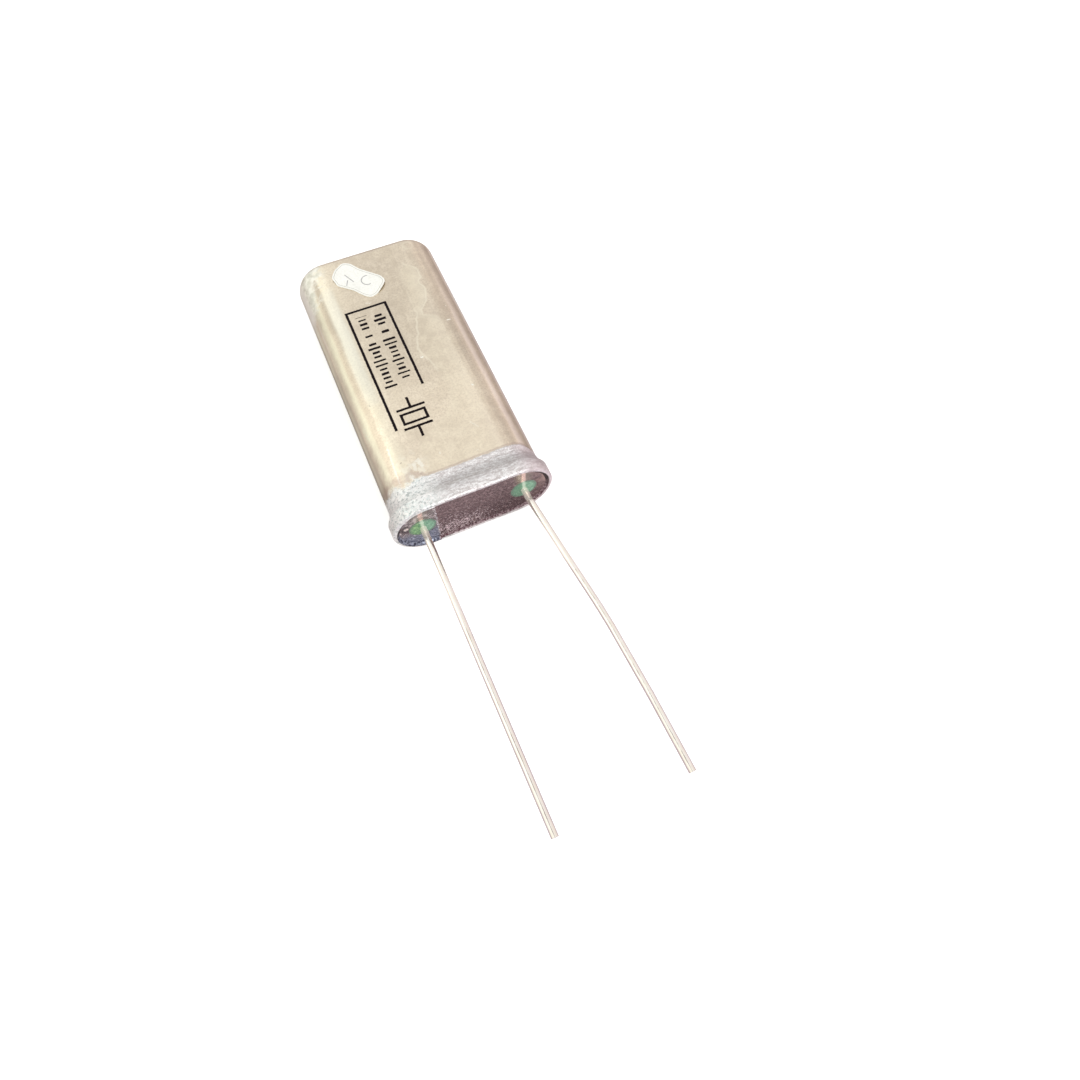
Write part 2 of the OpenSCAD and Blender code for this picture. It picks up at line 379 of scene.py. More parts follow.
def past_box(place, middle, half_size):
    """How far a place lies outside a box along X or Y, in mm."""
    past = split(vectors("SUBTRACT", vectors("ABSOLUTE", vectors("SUBTRACT", place, middle)), half_size))
    return larger(past["X"], past["Y"])


# Box: a straight stroke along X or Y, with an edge 0.03 mm soft.
tree, given = new_group("box", "Place, Middle, Half size", "Mask")
past = past_box(given["Place"], given["Middle"], given["Half size"])
finish_group(tree, Mask=ramp(past, 0.03, -0.03))

# Bar: a straight stroke, turned about its own middle.
tree, given = new_group("bar", "Place, Middle, Half size, Angle, Soft", "Mask")
turned = node(tree, "ShaderNodeVectorRotate", {"Vector": given["Place"], "Center": given["Middle"],
                                               "Angle": given["Angle"]}, rotation_type="Z_AXIS")
past = past_box(turned.outputs[0], given["Middle"], given["Half size"])
finish_group(tree, Mask=ramp(past, given["Soft"], times(given["Soft"], -1.0)))

# Ring: a round stroke.
tree, given = new_group("ring", "Place, Middle, Radius, Half width, Soft", "Mask")
away = vectors("DISTANCE", stretch(given["Place"], (1, 1, 0)), given["Middle"])
past = minus(absolute(minus(away, given["Radius"])), given["Half width"])
finish_group(tree, Mask=ramp(past, given["Soft"], times(given["Soft"], -1.0)))

# %% [markdown]
# Many marks on the can run round its curved flanks. They are easier to place on the sheet that the
# can was drawn from, so this group unrolls it: X becomes the distance in millimetres round the
# can's section from the middle of the marked face, Y stays the length, and Z is dropped. The
# middle of the underside is about 11.8 mm away, so curves that run round the can end at CURVE_END.

# %% Unroll the can
CURVE_END = 11.6
tree, given = new_group("unrolled", "Place", "Sheet")
axes = split(given["Place"])
sideways = absolute(axes["X"])
past_flat = larger(minus(sideways, ARC_X), 0.0)
angle = maths("ARCTAN2", past_flat, minus(axes["Z"], MID_Z))
length = linear(angle, BODY_R, maths("MINIMUM", sideways, ARC_X))
length = times(length, maths("SIGN", axes["X"]))
unrolled = node(tree, "ShaderNodeCombineXYZ", {"X": length, "Y": axes["Y"]}).outputs[0]
finish_group(tree, Sheet=unrolled)


# %% Start a material
def new_material(name):
    """A material with only its Principled shader, and the place in millimetres for its nodes."""
    made = bpy.data.materials.new(name)
    made.use_nodes = True
    tree = made.node_tree
    tree.nodes.clear()
    place = node(tree, "ShaderNodeTexCoord").outputs["Object"]
    scaled = node(tree, "ShaderNodeVectorMath", {0: place, "Scale": 1 / MM}, operation="SCALE").outputs[0]
    shader = node(tree, "ShaderNodeBsdfPrincipled")
    node(tree, "ShaderNodeOutputMaterial", {"Surface": shader.outputs[0]})
    return made, scaled, shader


def bump(*reliefs):
    """Adds up reliefs, each a height between 0 and 1 and the millimetres it stands for."""
    total = 0.0
    for height, depth in reliefs:
        total = linear(height, depth, total)
    inputs = {"Height": total, "Distance": 1 * MM, "Strength": 1.0}
    return node(total.id_data, "ShaderNodeBump", inputs).outputs[0]


def tone(colour, factor):
    """Makes a colour lighter or darker by a factor."""
    inputs = {axis: factor for axis in "XYZ"}
    return stretch(colour, node(tree_of(colour, factor), "ShaderNodeCombineXYZ", inputs).outputs[0])


def layers(colour, *coats):
    """Lays coats over a colour, each with its mask, the share that it covers there and its colour."""
    for mask, amount, over in coats:
        colour = mix(times(mask, amount), colour, over)
    return colour


def dress(material, *names):
    """Gives CAD nodes their finish, in the slots that their meshes already have."""
    for name in names:
        for slot in frame["nodes"][name].material_slots:
            slot.material = material
    print("dressed in", material.name + ":", ", ".join(names))


print("material helpers ready")

# %% [markdown]
# ## Tinning
#
# The can was dipped in solder to close its rim, and the tin ran a few millimetres up the body. Tin
# is greyer than nickel silver and has a cloudy, brushed skin. Along the can the band has painted
# light and shade of its flared shape: lighter at its upper edge and at the rim, duller between,
# except towards the left. Towards the left the skin is bluish with dark pits, and at the right it is
# a little pink. The can's own material needs all this below the edge of the band, and so do the
# solder pieces, so it is one group.

# %% Build the tinning group
tree, given = new_group("tinning", "Place", "Color, Roughness, Height")
place = given["Place"]
axes = split(place)
sheet = use("unrolled", Place=place)["Sheet"]
broad = mottle(place, 1.5, 0.38, 0.62)
fine = mottle(place, 0.22, 0.42, 0.58)
brushed = mottle(stretch(sheet, (0.45, 1.6, 1.0)), 0.4, 0.47, 0.57)
pitted = mottle(place, 0.3, 0.53, 0.62)
left = ramp(axes["X"], -1.8, -5.2)
right = ramp(axes["X"], 5.0, 8.1)
# Painted light and shade of the band along the can: y, tone.
level = curve(axes["Y"], [(-2.0, 1.0), (-1.5, 1.0), (-1.1, 0.95), (-0.5, 0.80), (-0.1, 0.74),
                          (0.6, 0.75), (1.15, 0.95), (1.5, 1.0), (1.85, 1.0), (2.1, 0.80)])
colour = mix(broad, (0.88, 0.835, 0.82), (1.0, 0.975, 0.965))
colour = mix(times(fine, 0.85), tone(colour, 0.80), (1.0, 1.0, 1.0))
bluish = mix(larger(fine, broad), (0.84, 0.92, 0.90), (1.0, 1.0, 0.98))
colour = layers(colour, (brushed, 0.55, (0.52, 0.47, 0.46)), (left, 0.8, bluish))
colour = mix(times(pitted, left, 0.65), colour, (0.40, 0.45, 0.44))
colour = layers(colour, (right, 0.5, (0.86, 0.74, 0.77)))
colour = tone(colour, linear(left, minus(1.0, level), level))
height = minus(plus(times(broad, 0.5), times(fine, 0.5)), times(pitted, left, 0.5))
finish_group(tree, Color=colour, Roughness=linear(fine, 0.18, 0.30), Height=height)

# %% [markdown]
# ## Ink
#
# The marked face carries a stamped black marking: a frame open at one end, two rows of small marks
# and a sign. Here the rows are plain bars of changing width, cell by cell, and the sign is the
# drawing symbol of any crystal, a block between two plates. Each stroke is a box mask, and the
# largest of all masks is the ink. A little noise in the place roughens the edges as a stamp does.

# %% Draw the frame and the sign
INK_WOBBLE = (0.12, 0.12, 0)
tree, given = new_group("ink", "Place", "Mask")
wobble = node(tree, "ShaderNodeTexNoise", {"Vector": given["Place"], "Scale": 5.0, "Detail": 2})
wobble = stretch(vectors("SUBTRACT", wobble.outputs["Color"], (0.5, 0.5, 0.5)), INK_WOBBLE)
place = vectors("ADD", given["Place"], wobble)

LINE = 0.16
FRAME_LEFT, FRAME_RIGHT, FRAME_TOP = -4.83, 0.12, 27.05
LEFT_END, RIGHT_END = 8.8, 13.76
SIGN = (-2.3, 9.9, 0)
# Each stroke: middle x and y, half its size in x and in y, in mm.
FRAME_STROKES = [
    (FRAME_LEFT, (FRAME_TOP + LEFT_END) / 2, LINE, (FRAME_TOP - LEFT_END) / 2),
    (FRAME_RIGHT, (FRAME_TOP + RIGHT_END) / 2, LINE, (FRAME_TOP - RIGHT_END) / 2),
    ((FRAME_LEFT + FRAME_RIGHT) / 2, FRAME_TOP, (FRAME_RIGHT - FRAME_LEFT) / 2 + LINE, LINE),
]
# The sign is the same on all four sides of its middle, so a quarter of it is drawn: a plate, the
# block's long and short side, and a pin.
SIGN_STROKES = [(0, 1.35, 1.7, LINE), (0, 0.65, 1.4, LINE), (1.4, 0, LINE, 0.65 + LINE),
                (0, 2.1, LINE, 0.75)]
quarter = vectors("ABSOLUTE", vectors("SUBTRACT", place, SIGN))
ink = 0.0
for where, strokes in ((place, FRAME_STROKES), (quarter, SIGN_STROKES)):
    for x, y, half_x, half_y in strokes:
        ink = larger(ink, use("box", Place=where, Middle=(x, y, 0), Half_size=(half_x, half_y, 0))["Mask"])
print("strokes:", len(FRAME_STROKES), "of the frame and", len(SIGN_STROKES), "of the sign's quarter")

# %% Stamp the rows
# A row is cut into cells along Y. White noise gives each cell its own bar, 0.22 to 0.4 mm thick and
# 0.9 or 1.5 mm long, and leaves some empty. Each row: its middle in x, its start and its end in y.
PITCH = 0.66
ROWS = ((-3.35, 14.4, 26.0), (-1.3, 14.4, 26.0))
EMPTY_SHARE = 0.16
ROW_SEED = 40.0
axes = split(place)
for row, (middle, start, end) in enumerate(ROWS):
    steps = maths("DIVIDE", axes["Y"], PITCH)
    cell = plus(maths("FLOOR", steps), ROW_SEED * row)
    dice = node(tree, "ShaderNodeTexWhiteNoise", {"W": cell}, noise_dimensions="1D")
    picks = node(tree, "ShaderNodeSeparateColor", {"Color": dice.outputs["Color"]}).outputs
    half_width = linear(picks[0], 0.09, 0.11)
    half_length = linear(maths("ROUND", picks[1]), 0.3, 0.45)
    from_middle = times(absolute(minus(maths("FRACT", steps), 0.5)), PITCH)
    past_width = minus(from_middle, half_width)
    past_length = minus(absolute(minus(axes["X"], middle)), half_length)
    bars = ramp(larger(past_width, past_length), 0.03, -0.03)
    inside = times(maths("GREATER_THAN", axes["Y"], start), maths("LESS_THAN", axes["Y"], end))
    filled = maths("GREATER_THAN", picks[2], EMPTY_SHARE)
    ink = larger(ink, times(times(bars, inside), filled))

# Ink lies on the marked face only, and has small worn holes.
on_face = maths("GREATER_THAN", split(given["Place"])["Z"], FACE_Z - 0.05)
worn = mottle(given["Place"], 0.12, 0.22, 0.34)
finish_group(tree, Mask=times(times(ink, on_face), worn))

# %% [markdown]
# ## The can
#
# The can is drawn from nickel silver sheet, a warm whitish alloy that takes a satin skin and goes
# slightly olive with handling. Its finish is a stack. At the bottom is the bare metal with its
# drawn lines, and the curved flanks have long pale and dark bands along the can, which are painted
# highlights and painted shade. On this lie water stains, the rubbed corner by the label, a smear at
# the left above the band, single nicks and spots, the tinned band and the ink. The group below makes
# the bare metal and its painted highlights and shade. On the underside these end, and it has one
# even tone.

# %% Paint the highlights and shade
# Painted highlight and shade round the can's section: distance from the middle of the face, tone.
PAINTED_SHEEN_ROUND = [(-CURVE_END, 1.0), (-10.4, 0.85), (-9.8, 1.22), (-9.4, 1.02), (-9.0, 1.26), (-8.6, 1.30),
           (-8.2, 1.32), (-7.8, 1.29), (-7.4, 1.10), (-7.0, 1.04), (-6.6, 1.17), (-6.2, 1.2),
           (-5.8, 1.18), (-5.4, 1.16), (-5.0, 1.12), (-4.2, 1.08), (0, 1.02), (2.5, 1.02), (4.5, 1.08),
           (5.2, 1.1), (5.6, 1.03), (6.0, 1.0), (6.4, 0.86), (6.8, 0.93), (7.2, 1.13), (7.6, 1.26),
           (8.0, 1.17), (8.4, 1.02), (8.8, 1.0), (9.2, 1.3), (9.6, 1.2), (10.3, 0.85), (CURVE_END, 1.0)]
# Near the closed end both flanks have other painted highlights and shade, laid over the first.
UPPER_PAINTED_SHEEN = [(-CURVE_END, 1.0), (-9.8, 1.25), (-9.2, 1.2), (-8.6, 0.94), (-8.0, 0.86), (-7.5, 0.9),
                 (-7.0, 0.82), (-6.6, 0.97), (-6.2, 1.12), (-5.6, 1.08), (-4.6, 1.0), (5.9, 1.0),
                 (6.4, 1.14), (6.8, 1.0), (8.3, 0.98), (8.8, 1.12), (9.2, 1.3), (9.6, 1.16),
                 (10.2, 1.0), (CURVE_END, 1.0)]
# Painted light along the can: y, tone.
LENGTHWISE = [(2, 1.24), (8, 1.24), (14, 1.17), (19, 1.10), (24, 1.12), (30, 1.14), (37, 1.2)]
print("streaks:", len(PAINTED_SHEEN_ROUND), "and", len(UPPER_PAINTED_SHEEN), "points")

# %% Bare nickel silver with painted sheen
tree, given = new_group("nickel_silver_with_painted_sheen", "Place", "Color, Lines")
place = given["Place"]
sheet = use("unrolled", Place=place)["Sheet"]
axes = split(sheet)
broad = mottle(place, 8.0, 0.36, 0.66)
patchy = mottle(place, 1.3, 0.42, 0.6)
grain = mottle(place, 0.2, 0.38, 0.68)
lines = use("drawn_lines", Place=place, Spacing=0.5)["Mask"]
colour = layers(mix(broad, (0.61, 0.53, 0.42), (0.71, 0.625, 0.49)), (patchy, 0.55, (0.76, 0.68, 0.55)),
                (grain, 0.6, (0.49, 0.415, 0.325)), (lines, 0.30, (0.52, 0.45, 0.35)))

# The painted bands drift a little along the can, and those of the right flank fade towards its end.
drift = noise(stretch(sheet, (0, 0.09, 0)), 1.0)
across = plus(axes["X"], linear(drift, 0.8, -0.4))
painted_sheen = curve(across, PAINTED_SHEEN_ROUND)
fading = ramp(axes["Y"], 18, 33, 1.0, linear(ramp(across, 0, 5), -0.7, 1.0))
painted_sheen = linear(minus(painted_sheen, 1.0), fading, 1.0)

# Where the painted highlight is strong it is also whiter, greenish at the left and pinkish at the
# right, and the outer flanks are whiter too, short of the closed end.
beyond = times(ramp(absolute(across), 8.6, 9.6), ramp(axes["Y"], 36.4, 34.4))
highlight_white = larger(ramp(painted_sheen, 1.0, 1.45), beyond)
highlight_tint = mix(ramp(split(place)["X"], -5.0, 5.0), (0.63, 0.65, 0.51), (0.64, 0.59, 0.57))
colour = layers(colour, (highlight_white, 0.6, highlight_tint))
# The painted highlights and shade, and the painted light along the can, scale the colour.
colour = tone(colour, times(painted_sheen, curve(axes["Y"], LENGTHWISE)))
upper = minus(curve(across, UPPER_PAINTED_SHEEN), 1.0)
colour = tone(colour, linear(upper, ramp(axes["Y"], 16, 28), 1.0))

# Halfway up the left flank a painted highlight strip is cool, and near the band both flanks are darker.
cool_highlight = times(ramp(absolute(plus(across, 6.0)), 1.1, 0.4),
               curve(axes["Y"], [(13, 0), (20, 0.36), (26, 0.36), (32, 0)]))
colour = mix(cool_highlight, colour, (0.86, 0.90, 0.83))
low_sides = times(ramp(absolute(across), 7.0, 7.7), ramp(axes["Y"], 11, 6))
colour = layers(colour, (low_sides, 0.18, (0.42, 0.35, 0.31)))
finish_group(tree, Color=colour, Lines=lines)

# %% [markdown]
# The stains are one pale field between a left and a right shore, each a curve that gives the
# distance from the middle for every y along the can. A thin pale line runs where it dried last,
# and a small ring stands alone near the closed end.

# %% Water stains
LEFT_SHORE = [(2, -3.5), (5, -3.5), (9, 1.0), (12, 2.5), (16, 2.2), (18.5, 1.4), (20, 1.7), (21, 2.2),
              (22.5, 2.6), (23.8, 3.0), (26, 3.1), (28, 3.2), (30, 3.3), (31.3, 3.7), (32, 4.8), (37, 5.2)]
RIGHT_SHORE = [(2, 5.5), (20, 5.6), (22.7, 5.3), (23.8, 3.7), (24.6, 4.3), (26, 5.1), (27.5, 5.35),
               (28.4, 5.0), (29.4, 5.6), (30.6, 5.5), (31.5, 5.0), (32.1, 4.3), (37, 4.3)]
# How strong each line is along the can: y, strength.
LEFT_LINE = [(14.5, 0), (16, 0.8), (24, 1.0), (25, 0.3), (33, 0.2)]
RIGHT_LINE = [(22.8, 0), (23.8, 1.0), (31.5, 1.0), (32.5, 0.0)]
tree, given = new_group("stains", "Place", "Field, Dried")
sheet = use("unrolled", Place=given["Place"])["Sheet"]
axes = split(sheet)
across = plus(axes["X"], linear(noise(sheet, 0.9, Detail=4), 0.7, -0.35))
from_left = minus(across, curve(axes["Y"], LEFT_SHORE))
from_right = minus(curve(axes["Y"], RIGHT_SHORE), across)
on_top = ramp(split(given["Place"])["Z"], FACE_Z - 0.9, FACE_Z - 0.2)
field = times(ramp(maths("MINIMUM", from_left, from_right), -0.5, 0.7), on_top)
left_line, right_line = (times(ramp(absolute(off), 0.24, 0.02), curve(axes["Y"], strength))
                         for off, strength in ((from_left, LEFT_LINE), (from_right, RIGHT_LINE)))
ring = use("ring", Place=sheet, Middle=(5.9, 34.9, 0), Radius=0.62, Half_width=0.1, Soft=0.25)["Mask"]
dried = larger(larger(left_line, right_line), ring)
# Inside the right shore the deposit thins out over about two millimetres.
thinning = times(ramp(from_right, -0.1, 0.15), ramp(from_right, 2.0, 0.2))
along = curve(axes["Y"], [(21.5, 0), (23.5, 1.0), (30, 0.8), (32.3, 0.0)])
dried = larger(dried, times(thinning, along, 0.5))
finish_group(tree, Field=field, Dried=times(dried, on_top))

# %% [markdown]
# Single nicks, drops and dirt specks are placed one by one on the unrolled sheet. The place is
# shifted by a little noise, so that no mark keeps a straight edge.

# %% Nicks and specks
# Each mark: its middle across and along, half its size in both, its turn in degrees and its strength.
PALE_MARKS = [
    (6.35, 21.6, 0.26, 0.07, -8, 1.0), (6.9, 23.9, 0.06, 0.06, 0, 0.9), (1.35, 17.4, 0.17, 0.09, 35, 0.9),
    (5.35, 11.35, 0.14, 0.12, 20, 0.9), (3.5, 6.2, 0.06, 0.6, -35, 0.35), (-1.4, 4.2, 0.07, 0.1, 0, 0.8),
    (2.5, 2.9, 0.1, 0.06, 0, 0.5), (-8.9, 33.8, 0.12, 0.34, 25, 1.0), (-9.15, 32.2, 0.13, 0.42, 30, 1.0),
    (-8.6, 30.8, 0.09, 0.15, 0, 0.9), (-6.6, 32.7, 0.2, 0.07, 30, 0.7), (-6.9, 34.6, 0.12, 0.1, 0, 0.7),
    (-1.8, 27.7, 0.34, 0.05, 20, 0.5), (-8.9, 26.0, 0.1, 2.2, 2, 0.45), (-6.7, 4.8, 0.08, 2.4, 3, 0.7),
    (-3.9, 3.9, 0.24, 0.6, -20, 0.55), (-4.6, 3.6, 0.2, 0.5, 10, 0.5), (7.2, 7.5, 0.2, 0.05, 0, 0.4),
]
DARK_MARKS = [
    (-6.5, 13.4, 0.05, 0.1, 0, 0.6), (-5.8, 4.7, 0.07, 0.07, 0, 0.5), (-4.3, 2.5, 0.08, 0.06, 0, 0.8),
    (5.2, 15.0, 0.05, 0.05, 0, 0.4), (2.4, 25.0, 0.06, 0.05, 0, 0.3),
]
MARK_WOBBLE = (0.14, 0.14, 0)
UNDERSIDE_Z = 2.0


def draw_marks(place, marks, soft):
    """Joins all marks of a table in one mask."""
    joined = 0.0
    for across, along, half_width, half_length, turn, strength in marks:
        mark = use("bar", Place=place, Middle=(across, along, 0), Half_size=(half_width, half_length, 0),
                   Angle=math.radians(turn), Soft=soft)["Mask"]
        joined = larger(joined, times(mark, strength))
    return joined


tree, given = new_group("marks", "Place", "Pale, Dark")
sheet = use("unrolled", Place=given["Place"])["Sheet"]
uneven = minus(mottle(given["Place"], 0.25, 0.3, 0.7), 0.5)
shift = node(tree, "ShaderNodeVectorMath", {0: MARK_WOBBLE, "Scale": uneven}, operation="SCALE").outputs[0]
sheet = vectors("ADD", sheet, shift)
above_underside = maths("GREATER_THAN", split(given["Place"])["Z"], UNDERSIDE_Z)
pale, dark = (times(draw_marks(sheet, marks, soft=0.06), above_underside)
              for marks in (PALE_MARKS, DARK_MARKS))
finish_group(tree, Pale=pale, Dark=dark)

# %% Stain and rub the can
can_finish, place, shader = new_material("nickel_silver")
real = split(place)
sheet = split(use("unrolled", Place=place)["Sheet"])
skin = use("nickel_silver_with_painted_sheen", Place=place)
stains = use("stains", Place=place)
patchy = mottle(place, 1.3, 0.36, 0.64)
colour = mix(times(stains["Field"], linear(patchy, 0.2, 0.18)), skin["Color"], (0.88, 0.80, 0.62))
colour = layers(colour, (stains["Dried"], 0.5, (0.92, 0.86, 0.70)))
rough = linear(patchy, 0.08, 0.28)

# The corner by the label is rubbed pale, with a cool, cloudy skin. It is palest at its outer edge.
RUBBED_EDGE = [(28, -9.2), (29.3, -8.4), (31, -7.4), (32.5, -6.8), (34, -6.3), (37, -5.0)]
inside = minus(plus(curve(sheet["Y"], RUBBED_EDGE), linear(patchy, 1.4, -0.7)), sheet["X"])
upper_half = ramp(real["Z"], MID_Z - 0.2, MID_Z + 1.0)
rubbed = times(times(ramp(inside, -0.7, 0.9), ramp(sheet["Y"], 27, 30)),
               times(ramp(real["X"], -2.5, -5.0), upper_half))
cloudy = mottle(place, 0.9, 0.3, 0.68)
cool = layers(mix(cloudy, (0.66, 0.67, 0.59), (1.0, 1.0, 0.93)),
              (ramp(sheet["X"], -8.7, -9.3), 0.8, (1.0, 1.0, 0.95)))
colour = layers(colour, (rubbed, 0.8, cool))
rough = linear(rubbed, 0.12, rough)

# Just above the tinned band, at the left, the metal is smeared pale and has one dark olive spot.
smeared = times(ramp(absolute(plus(sheet["X"], 5.3)), 3.0, 1.0), ramp(sheet["Y"], 7.0, 3.0))
colour = mix(times(smeared, mottle(place, 0.7, 0.47, 0.6), 0.6), colour, (0.97, 0.93, 0.80))
spot = times(ramp(sheet["X"], -8.2, -9.4), ramp(absolute(minus(sheet["Y"], 2.6)), 1.8, 0.4))
colour = mix(times(spot, upper_half, 0.45), colour, (0.36, 0.32, 0.20))

marks = use("marks", Place=place)
colour = mix(marks["Pale"], colour, (1.0, 0.98, 0.88))
colour = mix(marks["Dark"], colour, (0.22, 0.17, 0.14))
print("the can is stained and rubbed, with", len(PALE_MARKS) + len(DARK_MARKS), "marks")

# %% Tin and ink on the can
# The band's edge is nearly straight on the marked face and ragged at the left.
BAND_EDGE = [(-CURVE_END, 1.9), (-10, 2.2), (-8.5, 2.3), (-7.5, 2.5), (-6.5, 1.9), (-5.0, 2.25), (-3.6, 2.1),
             (-2, 2.02), (3, 2.05), (6, 2.1), (7.5, 2.0), (9, 1.5), (10, 1.4), (CURVE_END, 1.9)]
left = ramp(real["X"], -3.0, -5.2)
shift = times(minus(noise(place, 1.6, Detail=5), 0.5), linear(left, 1.6, 0.3))
above = minus(minus(sheet["Y"], curve(sheet["X"], BAND_EDGE)), shift)
above = times(above, linear(left, -0.75, 1.0))
tinned = ramp(above, 0.1, -0.12)
flux_line = ramp(absolute(minus(above, 0.16)), 0.22, 0.0)
tin = use("tinning", Place=place)
colour = mix(tinned, layers(colour, (flux_line, 0.5, (0.50, 0.38, 0.34))), tin["Color"])
rough = plus(times(rough, minus(1.0, tinned)), times(tin["Roughness"], tinned))

INK = (0.014, 0.010, 0.012)
ink = use("ink", Place=place)["Mask"]
colour = mix(ink, colour, INK)
rough = plus(rough, times(ink, 0.15))
dents = mottle(place, 4.0, 0.2, 0.8)
relief = bump((dents, 0.05), (skin["Lines"], 0.002), (times(cloudy, rubbed), 0.01),
              (times(tin["Height"], tinned), 0.045), (tinned, 0.025))
plug(shader, Base_Color=colour, Roughness=rough, Normal=relief, Metallic=1.0)
dress(can_finish, "can")

# %% [markdown]
# ## Header, glass and leads
# The header was left as the oxide of its sealing furnace made it: brown at the top, maroon below,
# and still shiny, so that the leads mirror in it, and above each seal their reflection is also
# painted. Along its lower side lies a crust of pale flux grains, and solder covers it round the left
# lead up to a ragged line. The seals are green glass, yellower left of the left lead, with painted
# shade left of the right lead. The leads are tinned and nearly white.

# %% Oxide and flux on the header
header_finish, place, shader = new_material("header_metal")
axes = split(place)
fine = mottle(place, 0.16, 0.42, 0.60)
patchy = mottle(place, 1.1, 0.35, 0.65)
depth = curve(axes["Z"], [(MID_Z - 3.0, 0.0), (MID_Z - 1.6, 0.28), (MID_Z, 0.62), (MID_Z + 2.6, 1.0)])
colour = layers(mix(depth, (0.095, 0.045, 0.05), (0.235, 0.165, 0.165)), (patchy, 0.4, (0.20, 0.125, 0.13)),
                (fine, 0.6, (0.06, 0.035, 0.04)), (mottle(place, 0.26, 0.5, 0.62), 0.5, (0.42, 0.31, 0.31)),
                (times(ramp(axes["X"], 6.8, 8.6), patchy), 0.8, (0.42, 0.29, 0.25)))

# Flux grains: thresholded noise, thickest low down and left of the middle.
low_side = curve(axes["Z"], [(0.6, 0.8), (1.6, 1.0), (2.4, 1.0), (3.2, 0.82), (4.2, 0.6), (5.5, 0.4),
                             (7, 0.2)])
thick = curve(axes["X"], [(-4.4, 0.9), (-2.5, 1.0), (-0.5, 0.95), (2.0, 0.65), (4.5, 0.5), (7, 0.4),
                          (9, 0.3)])
amount = times(low_side, thick)
grains = noise(stretch(place, (0.85, 1.0, 1.3)), 4.6, Detail=3, Roughness=0.65)
crust = ramp(minus(grains, linear(amount, -0.19, 0.67)), 0.0, 0.07)
thickness = linear(maths("POWER", amount, 2.0), 0.65, 0.35)
colour = mix(times(crust, thickness), colour, (0.95, 0.80, 0.82))
print("the header is oxidised, with flux grains")

# %% Solder on the left part of the header
SOLDER_END_X = -4.4
# The point below is the middle of a painted highlight on a solder lump left of the left seal, with a dark
# ring round it.
LUMP_HIGHLIGHT = (-7.95, header_low.y, MID_Z + 0.75)
solder_x = plus(axes["X"], linear(noise(place, 3.0, Detail=3), 0.5, -0.25))
soldered = ramp(solder_x, SOLDER_END_X + 0.06, SOLDER_END_X - 0.06)
dotted = times(ramp(absolute(plus(solder_x, -SOLDER_END_X)), 0.14, 0.04), fine)
lumpy = mottle(place, 0.8, 0.36, 0.62)
bluish = mix(fine, (0.20, 0.24, 0.33), (0.50, 0.55, 0.68))
from_lump_highlight = vectors("DISTANCE", place, LUMP_HIGHLIGHT)
tin_tone = layers(mix(lumpy, (0.16, 0.12, 0.12), (0.62, 0.56, 0.56)),
                  (ramp(axes["Z"], MID_Z, MID_Z - 2.0), 0.85, bluish),
                  (ramp(from_lump_highlight, 0.9, 0.4), 0.8, (0.09, 0.06, 0.06)))
tin_tone = mix(ramp(from_lump_highlight, 0.38, 0.2), tin_tone, (1.0, 0.90, 0.82))
colour = mix(soldered, colour, tin_tone)
colour = mix(dotted, colour, (0.95, 0.93, 0.95))

# Above each seal the lead's reflection is painted: a broad paler zone with a coppery line in it.
from_lead = absolute(minus(absolute(axes["X"]), LEAD_X))
above_seal = ramp(axes["Z"], MID_Z + 1.2, MID_Z + 1.5)
colour = layers(colour, (times(ramp(from_lead, 1.5, 0.3), above_seal), 0.4, (0.42, 0.40, 0.32)),
                (times(ramp(from_lead, 0.34, 0.16), above_seal), 0.8, (0.92, 0.68, 0.60)))
rough = minus(linear(fine, 0.12, 0.22), times(soldered, 0.08))
relief = bump((times(crust, minus(1.0, soldered)), 0.05), (times(lumpy, soldered), 0.12))
plug(shader, Base_Color=colour, Roughness=rough, Metallic=1.0, Normal=relief)
dress(header_finish, "header")

# %% Finish the glass seals
def hypotenuse(across, up):
    return maths("SQRT", linear(across, across, times(up, up)))


glass_finish, place, shader = new_material("sealing_glass")
axes = split(place)
swirl = mottle(place, 0.45, 0.38, 0.62)
bubbles = use("specks", Place=place, Spacing=0.4, Radius=0.08, Share=0.3)["Mask"]
dirt = mottle(place, 0.22, 0.56, 0.66)
left_seal = maths("LESS_THAN", axes["X"], 0.0)
left_half = larger(ramp(axes["X"], -LEAD_X + 0.2, -LEAD_X - 0.6),
                   times(ramp(axes["X"], LEAD_X + 0.2, LEAD_X - 0.6), maths("GREATER_THAN", axes["X"], 0.0)))
yellower = mix(swirl, (0.07, 0.20, 0.06), (0.26, 0.48, 0.17))
colour = mix(swirl, (0.13, 0.30, 0.19), (0.24, 0.44, 0.30))
colour = mix(times(left_half, left_seal, 0.8), colour, yellower)
# On the right seal the half left of the lead is darker: painted shade.
colour = mix(times(left_half, minus(1.0, left_seal), 0.7), colour, (0.085, 0.20, 0.115))
colour = layers(colour, (dirt, 0.6, (0.05, 0.09, 0.07)), (bubbles, 0.6, (0.70, 0.86, 0.74)))

# Towards its border the glass is darker, a painted shade where it meets the header, and the lead shows
# in it as a painted pale reflection going up.
beside_lead = absolute(minus(absolute(axes["X"]), LEAD_X))
height = minus(axes["Z"], MID_Z)
border = times(ramp(hypotenuse(beside_lead, height), 1.15, 1.5), linear(swirl, 0.5, 0.4))
colour = mix(border, colour, (0.09, 0.13, 0.10))
painted_lead_reflection = times(ramp(beside_lead, 0.28, 0.1), ramp(height, 0.1, 0.4))
colour = layers(colour, (painted_lead_reflection, 0.6, (0.62, 0.72, 0.58)))
plug(shader, Base_Color=colour, Roughness=linear(swirl, 0.1, 0.08), Metallic=0.0, IOR=1.5,
     Transmission_Weight=0.15, Normal=bump((swirl, 0.03), (bubbles, 0.03)))
dress(glass_finish, "glass_seal_left", "glass_seal_right")

